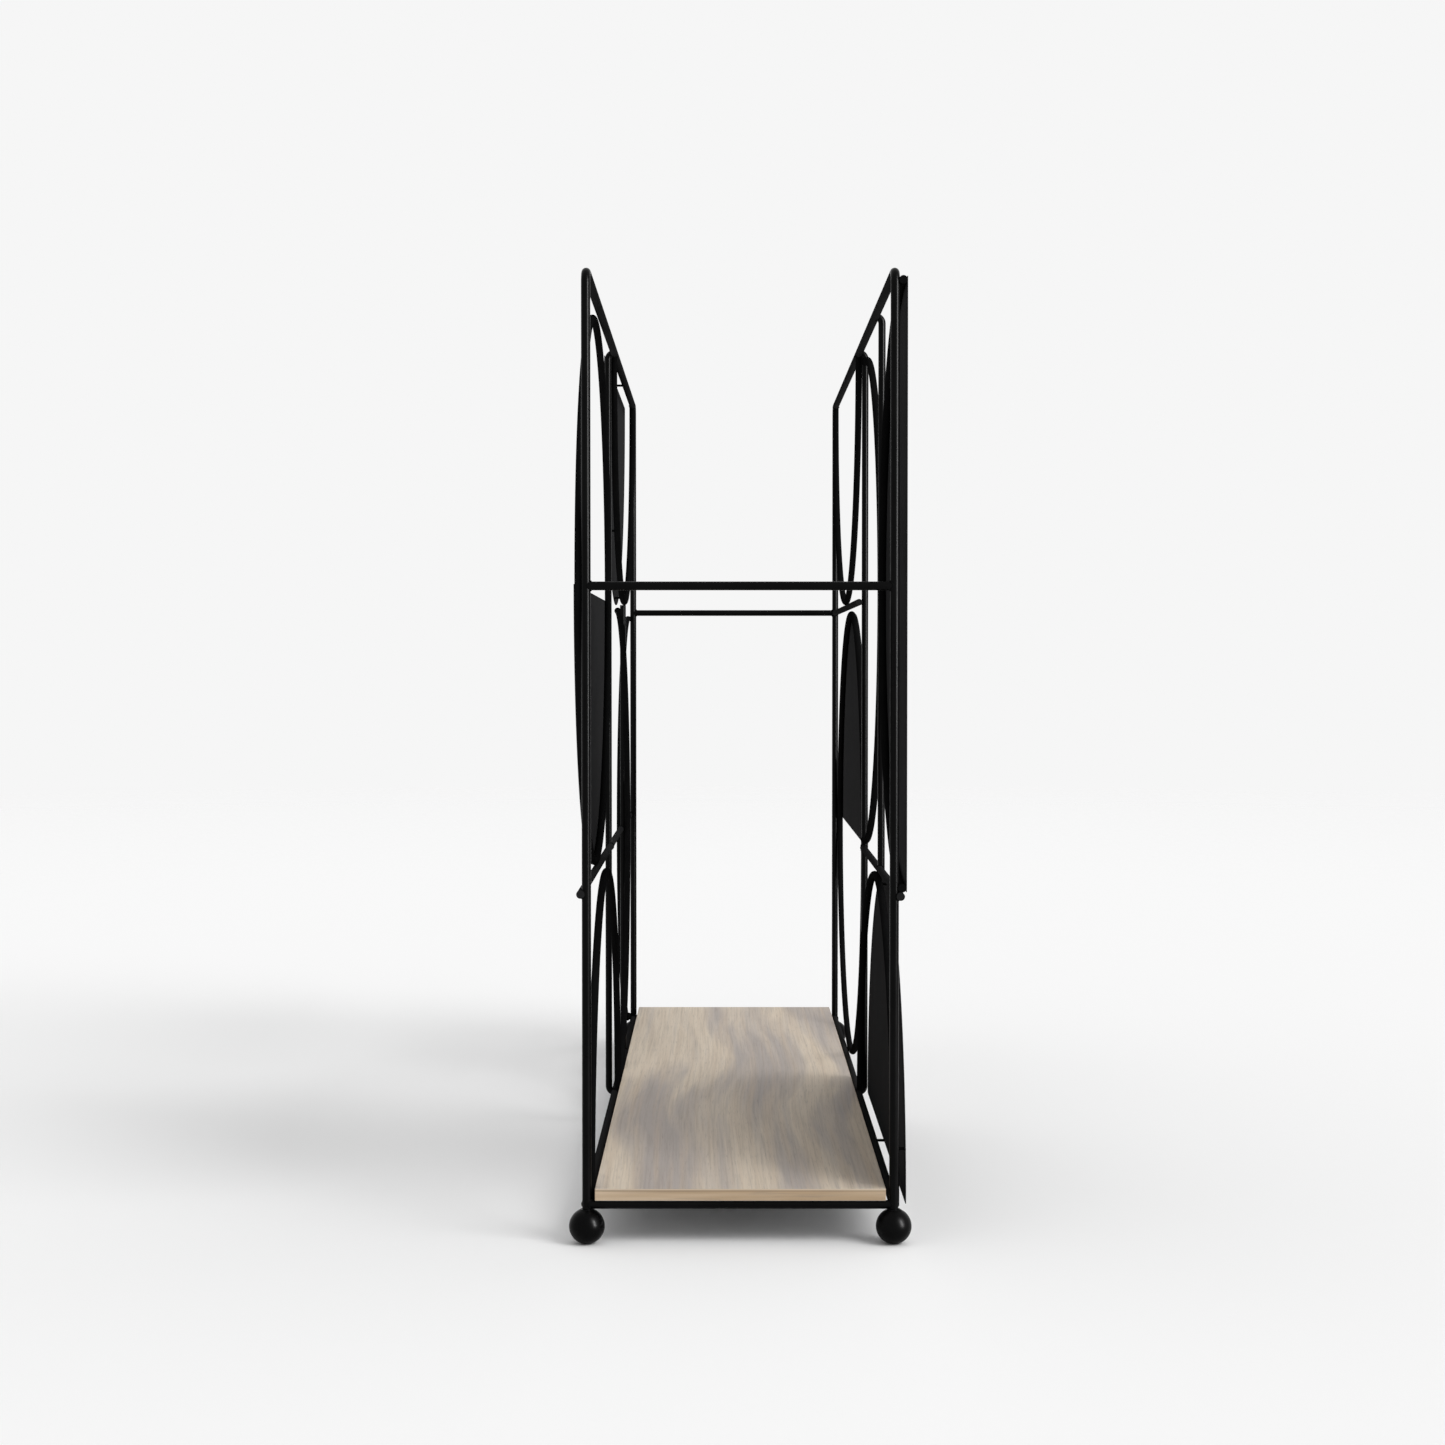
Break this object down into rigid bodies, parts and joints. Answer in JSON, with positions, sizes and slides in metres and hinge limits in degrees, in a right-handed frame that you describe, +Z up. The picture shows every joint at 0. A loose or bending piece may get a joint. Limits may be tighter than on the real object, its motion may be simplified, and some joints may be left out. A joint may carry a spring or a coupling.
{
  "type": "firewood log rack",
  "caption": "Tall narrow firewood rack: wire side panels of grid bars, rings and half-disc plates, joined by cross rails, with a base board on ball feet.",
  "frame": {"origin": "on the floor, under the middle of the rack", "axes": "+Y along the length, from the near end to the far end; +X across the width, towards the right panel; +Z up"},
  "size_m": [0.3328, 1.2348, 0.9455],
  "materials": {
    "steel": "satin black powder coat",
    "board": "matt greyish oak veneer"
  },
  "bodies": {
    "root": {"right_near_post": "steel", "right_far_post": "steel", "right_top_rail": "steel", "right_bottom_rail": "steel", "right_middle_upright": "steel", "right_upper_upright": "steel", "right_lower_bar": "steel", "right_upper_bar": "steel", "right_near_ring": "steel", "right_half_ring": "steel", "right_full_ring": "steel", "right_standing_arch": "steel", "right_hanging_arch": "steel", "right_near_plate": "steel", "right_ring_plate": "steel", "right_arch_plate": "steel", "right_arch_studs": "steel", "left_near_post": "steel", "left_far_post": "steel", "left_top_rail": "steel", "left_bottom_rail": "steel", "left_middle_upright": "steel", "left_lower_upright": "steel", "left_lower_bar_near": "steel", "left_lower_bar_far": "steel", "left_lower_bar_end": "steel", "left_far_ring": "steel", "left_half_ring": "steel", "left_full_ring": "steel", "left_standing_arch": "steel", "left_hanging_arch": "steel", "left_ring_plate": "steel", "left_arch_plate": "steel", "left_arch_studs": "steel", "near_bottom_cross_rail": "steel", "far_bottom_cross_rail": "steel", "near_middle_cross_rail": "steel", "far_middle_cross_rail": "steel", "base_board": "board", "near_left_foot": "steel", "near_right_foot": "steel", "far_left_foot": "steel", "far_right_foot": "steel"}
  },
  "joints": []
}
